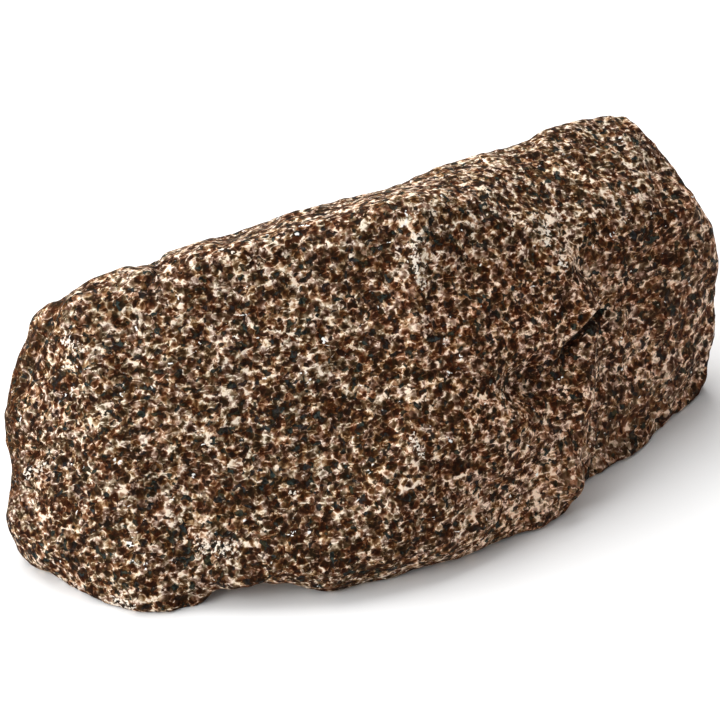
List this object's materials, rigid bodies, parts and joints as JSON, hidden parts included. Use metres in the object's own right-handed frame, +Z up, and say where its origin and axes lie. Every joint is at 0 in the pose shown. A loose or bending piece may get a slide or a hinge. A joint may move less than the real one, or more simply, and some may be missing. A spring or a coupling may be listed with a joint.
{
  "type": "rough rock",
  "caption": "Long, blocky hand-sized rock of coarse speckled stone, with a broad leaning face, a high shoulder, a ledge, a shallow hollow and a flat underside it rests on.",
  "frame": {"origin": "bottom centre of the rock's bounding box, on the surface that it rests on", "axes": "+X along the rock's length, from its low end to its high shoulder; -Y is the broad leaning face that shows; +Z up from the flat underside"},
  "size_m": [0.134, 0.0594, 0.0551],
  "materials": {
    "stone": "rough, unpolished, coarse-grained surface: near-black and rust-brown grains in a cream and peach network, with small bright grains"
  },
  "bodies": {
    "root": {"rock": "stone"}
  },
  "joints": []
}
